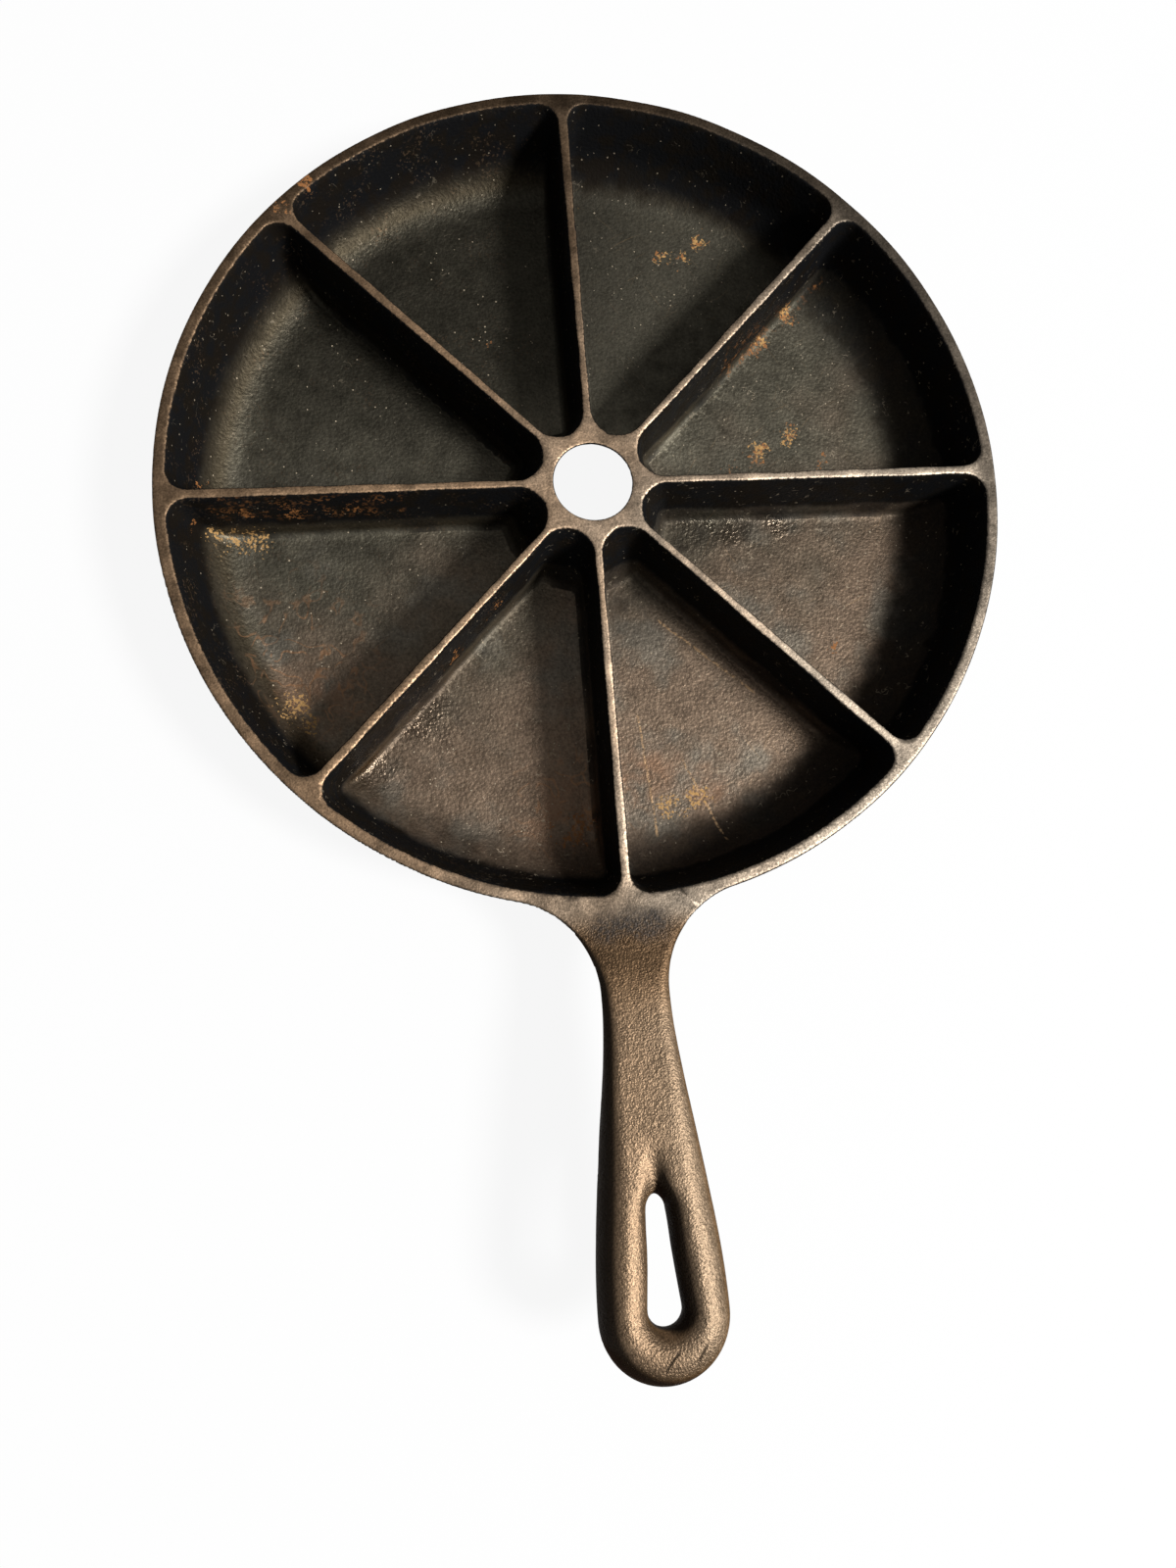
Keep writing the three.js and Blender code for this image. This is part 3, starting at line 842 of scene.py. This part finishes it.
# %% Rust and marks
# A place is x, y and a reach, then a height if it isn't on the floor. A line is two ends and a width.
RUST = (0.36, 0.15, 0.05)
GOLDEN = (0.57, 0.34, 0.13)
SPECK = (0.52, 0.43, 0.31)
CRACK = (0.42, 0.22, 0.11)
FRECKLE = (0.15, 0.095, 0.055)
STAIN = (0.3, 0.155, 0.085)
GOLDEN_PLACES = [
    (-107.0, -5.0, 8.0, 6.0), (-101.0, -6.0, 10.0), (-94.0, -6.5, 9.0), (-86.0, -55.0, 11.0),
    (-82.0, -60.0, 6.0), (17.5, -89.0, 8.0), (26.0, -88.0, 9.0), (55.0, 17.5, 7.0), (65.0, 21.0, 7.0),
    (31.0, 80.5, 5.0), (37.0, 80.0, 4.0), (42.5, 86.0, 5.0), (68.0, 61.0, 6.0), (58.0, 52.0, 6.0),
    (6.0, 96.0, 6.0, 8.0),
]
RUST_PLACES = [
    (-108.0, 10.0, 6.0, 11.0), (-112.0, -3.0, 6.0, 14.0), (30.0, 80.5, 6.0), (36.0, 80.0, 5.0),
    (42.5, 86.0, 6.0), (54.0, 16.0, 8.0), (65.0, 22.0, 7.0), (73.0, 13.0, 5.0), (47.0, 11.5, 6.0),
    (79.0, 71.0, 3.5, 6.0), (68.0, 61.0, 8.0), (57.0, 51.0, 8.0), (-42.0, -44.0, 6.0, 14.0),
    (-30.0, -31.0, 6.0, 17.0), (-24.0, 53.0, 3.0), (-74.0, 90.0, 6.0, 26.0), (-81.5, 82.0, 6.0, 26.0),
    (-82.0, -2.0, 7.0, 17.0), (-66.0, -2.0, 6.0, 18.0), (-95.0, -2.0, 6.0, 17.0),
    (71.0, -45.0, 6.0), (-10.0, -93.0, 13.0),
]
CRUMBLY_LINES = [((44.0, 39.5), (79.0, 70.5), 2.2), ((-104.0, -2.0), (-52.0, -2.0), 0.8)]
STAIN_PLACES = [(-12.0, -90.0, 20.0), (12.0, -80.0, 16.0), (-80.0, -52.0, 16.0), (30.0, -86.0, 12.0)]
CRACKED_PLACES = [(-86.0, -40.0, 34.0), (-78.0, -46.0, 24.0), (-10.0, -88.0, 26.0)]
SCRATCHED = (0.5, 0.32, 0.17)
SCRATCHES = [
    ((11.0, -62.0), (13.5, -97.0)), ((19.0, -34.0), (46.0, -57.0)), ((23.0, -76.0), (33.0, -100.0)),
]
CRUMB_PLACES = [(-25.0, -78.0, 45.0), (60.0, 32.0, 40.0), (64.0, 57.0, 18.0), (28.0, 75.0, 40.0)]
WIPES = [(math.radians(62), 7.0), (math.radians(28), 9.0), (math.radians(-55), 11.0)]  # heading, seed
WIPE_LENGTH = 16.0
WIPE_WIDTH = 0.5
STROKE_WIDTH = 0.5
SPECK_APART = 1.9
WIPED_SIDE = (-10.0, 25.0)  # fine scratches are on the right, freckles on the left
FRECKLED_SIDE = (20.0, -30.0)
LINT_SIDE = (30.0, -30.0)  # and most hairs towards the handle
CUTS = [((-1.6, -229.5), (1.7, -225.0)), ((6.5, -228.2), (9.0, -224.4))]


def grains(bench, places, size, seed):
    near = bench.near_any(places) * bench.ease(0.22, 0.46, bench.patch)
    return bench.ease(0.45, 0.54, bench.noise(size, seed, detail=4.0) + (near - 1.03) * 0.3)


def crumbs(bench):
    """Rusty crumbs that lie along a wall here and there."""
    marked = bench.most([bench.stroke(*line) for line in CRUMBLY_LINES])
    here = marked * bench.ease(0.45, 0.6, bench.noise(4.0, seed=48.0))
    return bench.ease(0.5, 0.57, bench.noise(0.9, seed=33.0, detail=3.0)) * here


def specks(bench):
    cells = {"Vector": bench.place, "Scale": 1 / SPECK_APART}
    away = bench.node("ShaderNodeTexVoronoi", {}, cells, "Distance")
    tint = bench.node("ShaderNodeTexVoronoi", {}, cells, "Color")
    chosen, size, _ = bench.parts(tint)
    crowd = chosen + (bench.cloud - 0.5) * 0.8 + bench.near_any(CRUMB_PLACES) * 0.3
    return bench.ease(0.56, 0.68, crowd) * bench.ease(0.08 + 0.11 * size, 0.05, away)


def lint(bench):
    """Short hairs: pieces of the thin lines where a fine noise passes its middle value."""
    hair = bench.ease(0.025, 0.008, abs(bench.noise(2.2, seed=42.0, detail=1.0) - 0.5))
    here = bench.ease(0.62, 0.68, bench.noise(2.6, seed=43.0, detail=1.0))
    here = here * bench.ease(0.4, 0.55, bench.cloud)
    return hair * here * (0.3 + 0.7 * bench.ease(*LINT_SIDE, bench.y - bench.x * 0.8))


def wiped(bench):
    """Fine scratches that a scraper leaves: noise drawn out along a few slanting directions."""
    lines = []
    for heading, seed in WIPES:
        along = bench.x * math.cos(heading) + bench.y * math.sin(heading) + (bench.cloud - 0.5) * 18
        across = bench.y * math.cos(heading) - bench.x * math.sin(heading) + (bench.cloud - 0.5) * 10
        sockets = {"X": along / WIPE_LENGTH, "Y": across / WIPE_WIDTH, "Z": seed}
        drawn = bench.node("ShaderNodeCombineXYZ", {}, sockets)
        streak = bench.node("ShaderNodeTexNoise", {}, {"Vector": drawn, "Scale": 1.0, "Detail": 1.0})
        lines.append(bench.ease(0.7, 0.78, streak))
    return bench.most(lines) * bench.ease(*WIPED_SIDE, bench.x)


def cracks(bench):
    near = bench.near_any(CRACKED_PLACES)
    wide = bench.ease(0.016, 0.006, abs(bench.noise(10.0, seed=41.0, detail=1.5) - 0.5))
    fine = bench.ease(0.024, 0.009, abs(bench.noise(6.5, seed=44.0, detail=1.0) - 0.5))
    broken = bench.ease(0.44, 0.56, bench.noise(5.0, seed=47.0))
    return bench.most([wide, fine]) * near * broken


def freckles(bench):
    """Fine brown grains that crowd together here and there, on the walls too."""
    crowd = bench.ease(0.46, 0.66, bench.noise(9.0, seed=46.0)) * bench.ease(*FRECKLED_SIDE, bench.x)
    return bench.ease(0.57, 0.63, bench.noise(0.8, seed=45.0, detail=3.0)) * crowd


print(len(RUST_PLACES) + len(GOLDEN_PLACES), "rust places,", len(SCRATCHES), "scratches")

# %% [markdown]
# ## The finish as a whole
# The layers go over each other much as they did on the pan: seasoning and stains, soot on the walls, the
# dark outside, the handle's painted shade, the rubbed tops with the handle's painted light, then
# scratches, rust and specks. Last come a darker band in the crease where the handle leaves the rim and
# two small cuts in the loop, drawn darker.

# %% Cast iron
CREASE_DARK = (0.04, 0.038, 0.037)
# The handle's colour where it is not bare: painted shade on the flanks turned away from the lamp.
SHADED_FLANK = (0.022, 0.0155, 0.0105)
CREASE_Y = -122.0
CREASE_WIDTH = (5.5, 0.5)  # from the crease's middle line to each side
CREASE_ENDS = (13.0, 8.0)  # from the handle's middle line
EDGE_TINT = (0.4, 0.34, 0.28, 1.0)  # worn iron stays dark where it is seen edge on
EDGE_LEVEL = 0.1
CHALKY = 0.85  # roughness of rust and specks
RELIEF_DEPTH = 0.2


def new_material(name):
    material = bpy.data.materials.new(name)
    material.use_nodes = True
    return material


def cast_iron(name):
    material = new_material(name)
    bench = IronBench(material)
    outside = outside_share(bench)
    soot = soot_share(bench) * (1 - outside)
    # worn is the rubbed tops of the pan, and on the handle the side that faces the lamp, which is
    # painted light.
    worn = worn_and_lit_share(bench)
    golden = grains(bench, GOLDEN_PLACES, size=0.8, seed=31.0)
    rust = bench.most([grains(bench, RUST_PLACES, size=0.9, seed=32.0), crumbs(bench) * 0.5])
    speck = bench.most([specks(bench), lint(bench) * 0.6]) * (1 - worn) * (1 - outside)
    speck = speck * (1 - 0.45 * soot) * (1 - bench.on_handle)
    freckle = freckles(bench) * (1 - outside)
    greasy = bench.near_any(GREASY_PLACES)
    deep = bench.most([bench.stroke(*ends, STROKE_WIDTH) for ends in SCRATCHES])
    deep = deep * bench.ease(0.4, 0.55, bench.pebble)
    scratch = bench.most([deep, wiped(bench) * 0.3 * (1 - soot)]) * (1 - outside)
    cut_mark = bench.most([bench.stroke(*ends, STROKE_WIDTH) for ends in CUTS])
    # The crease where the handle leaves the rim is drawn darker along a band.
    crease = bench.ease(*CREASE_WIDTH, abs(bench.y - CREASE_Y + (bench.patch - 0.5) * 10))
    crease_dark = crease * bench.ease(*CREASE_ENDS, abs(bench.x)) * bench.ease(0.25, 0.6, bench.pebble)

    stained = bench.near_any(STAIN_PLACES) * bench.ease(0.3, 0.65, bench.patch)
    sooty = bench.blend(bench.ease(0.42, 0.62, bench.patch), SOOT, SOOT_BROWN)
    colour = bench.blend(stained * 0.5, seasoned_floor(bench), STAIN)
    colour = bench.blend(cracks(bench) * 0.6, colour, CRACK)
    colour = bench.blend(soot, colour, sooty)
    colour = bench.blend(freckle * 0.32, colour, FRECKLE)
    pores = 1 + 1.2 * (bench.pebble - 0.5)
    skin_tone = (0.4 + 1.2 * bench.patch) * pores * (0.7 + 0.6 * bench.cloud)
    colour = bench.blend(outside, colour, bench.scale(OUTSIDE, skin_tone))
    # The handle is painted dark all over as painted shade, and its lit crown goes over it below.
    colour = bench.blend(bench.on_handle, colour, SHADED_FLANK)
    colour = bench.blend(worn, colour, worn_and_lit_iron(bench))
    colour = bench.blend(scratch * 0.7, colour, SCRATCHED)
    colour = bench.blend(rust * 0.8, colour, RUST)
    colour = bench.blend(golden * 0.85, colour, GOLDEN)
    colour = bench.blend(speck, colour, SPECK)
    colour = bench.blend(crease_dark * 0.8, colour, CREASE_DARK)
    # The two cuts are drawn darker with the same dark colour.
    colour = bench.blend(cut_mark * 0.8, colour, SHADED_FLANK)
    bench.feed("Base Color", colour)

    dull = bench.most([rust, golden * 0.6, speck])
    metal = 0.88 + 0.1 * worn - 0.78 * soot * (1 - worn)
    bench.feed("Metallic", metal * (1 - dull))
    rough = 0.5 + 0.12 * soot * (1 - worn) + 0.02 * bench.on_handle - 0.2 * greasy
    rough = rough + 0.2 * (bench.patch - 0.5)
    bench.feed("Roughness", rough + dull * (CHALKY - rough))
    bench.shader.inputs["Specular IOR Level"].default_value = EDGE_LEVEL
    bench.shader.inputs["Specular Tint"].default_value = EDGE_TINT
    coarse = 1 - (0.6 - 0.3 * bench.on_handle) * worn
    relief = bench.pebble * coarse + (0.2 + 0.9 * bench.on_handle) * bench.dust - 0.5 * cut_mark
    bench.bump(relief * (1 + 1.5 * greasy + 1.2 * outside), RELIEF_DEPTH)
    return material


pan_iron = cast_iron("pan_iron")
handle_iron = cast_iron("handle_iron")
for name, piece in pieces.items():
    piece.data.materials.append(handle_iron if name.startswith("handle") else pan_iron)
print("nodes in each finish:", len(pan_iron.node_tree.nodes))

# %% [markdown]
# ## The floor
# The floor is white to the camera and to reflections, and an ordinary pale floor to everything else,
# so it stays white without more light on the pan and still takes a soft shadow.

# %% Floor
FLOOR_SIZE = 12.0
PALE = (0.85, 0.85, 0.85, 1.0)
MATT = 0.9
SHADOW_SHARE = 0.09  # how much of the floor's shading the camera sees near the pan
SHADOW_FADES = (1.4, 0.5)  # metres from the pan


def white_floor():
    half = FLOOR_SIZE / 2
    mesh = bpy.data.meshes.new("floor")
    corners = [(-half, -half, 0), (half, -half, 0), (half, half, 0), (-half, half, 0)]
    mesh.from_pydata(corners, [], [(0, 1, 2, 3)])
    floor = bpy.data.objects.new("floor", mesh)
    bpy.context.scene.collection.objects.link(floor)
    material = new_material("white_floor")
    bench = Bench(material, material.node_tree.nodes["Principled BSDF"])
    bench.shader.inputs["Base Color"].default_value = PALE
    bench.shader.inputs["Roughness"].default_value = MATT
    glow = bench.node("ShaderNodeEmission", {}, {"Strength": 1.0})
    plain = Wire(bench, bench.shader.outputs[0])
    place = bench.node("ShaderNodeTexCoord", {}, {}, "Object")
    away = bench.node("ShaderNodeVectorMath", {"operation": "LENGTH"}, {0: place}, "Value")
    shaded = SHADOW_SHARE * bench.ease(*SHADOW_FADES, away)
    share = bench.seen_directly() * (1 - shaded)
    mixed = bench.node("ShaderNodeMixShader", {}, {0: share, 1: plain, 2: glow})
    bench.tree.links.new(mixed.socket, material.node_tree.nodes["Material Output"].inputs["Surface"])
    mesh.materials.append(material)


white_floor()
print(f"white floor {FLOOR_SIZE:.0f} m across")

# %% [markdown]
# ## The lamp
# The shadows in the pockets all fall to the upper left and keep a fairly sharp edge, so one lamp is
# enough: far off on the right, a little towards the handle, and about as high as it is far.

# %% Lamp
MIDDLE = (0.0, 0.039, 0.015)
LAMP_PLACE = (2.558, -1.047, 2.892)
LAMP_SIZE = 1.0
LAMP_POWER = 197.0


def soft_lamp(name, place, aim, size, power):
    light = bpy.data.lights.new(name, "AREA")
    light.shape = "DISK"
    light.size = size
    light.energy = power
    lamp = bpy.data.objects.new(name, light)
    lamp.location = place
    lamp.rotation_euler = (Vector(aim) - Vector(place)).to_track_quat("-Z", "Y").to_euler()
    bpy.context.scene.collection.objects.link(lamp)


soft_lamp("key_lamp", LAMP_PLACE, MIDDLE, LAMP_SIZE, LAMP_POWER)
print(f"one lamp {Vector(LAMP_PLACE).length:.1f} m away")

# %% [markdown]
# ## The room
# The room is a dim dome, lighter overhead and on the lamp's side. To the camera it is white, and along
# the horizon it is white in reflections too, so that the floor runs into it from every side.

# %% Room
ROOM_DARK = 0.04
ROOM_LIGHT = 0.23
WHITE = (1.0, 1.0, 1.0, 1.0)
DOME_RISES = (-0.2, 0.9)
HORIZON = (0.2, 0.1)  # height, as a share, below which the room is white in reflections


def dim_room():
    world = bpy.data.worlds.new("room")
    bpy.context.scene.world = world
    world.use_nodes = True
    room = Bench(world, world.node_tree.nodes["Background"])
    room.shader.inputs["Color"].default_value = WHITE
    x, y, z = room.parts(room.node("ShaderNodeTexCoord", {}, {}, "Generated"))
    dome = ROOM_DARK + ROOM_LIGHT * room.ease(*DOME_RISES, z * 0.8 + x * 0.55 - y * 0.2)
    band = room.ease(*HORIZON, z) * room.seen_directly()
    white = room.most([band, room.node("ShaderNodeLightPath", {}, {}, "Is Camera Ray")])
    room.feed("Strength", dome + white * (1 - dome))


dim_room()
bpy.context.scene.view_settings.view_transform = "Standard"
print(f"room from {ROOM_DARK} to {ROOM_DARK + ROOM_LIGHT:.2f} of white")
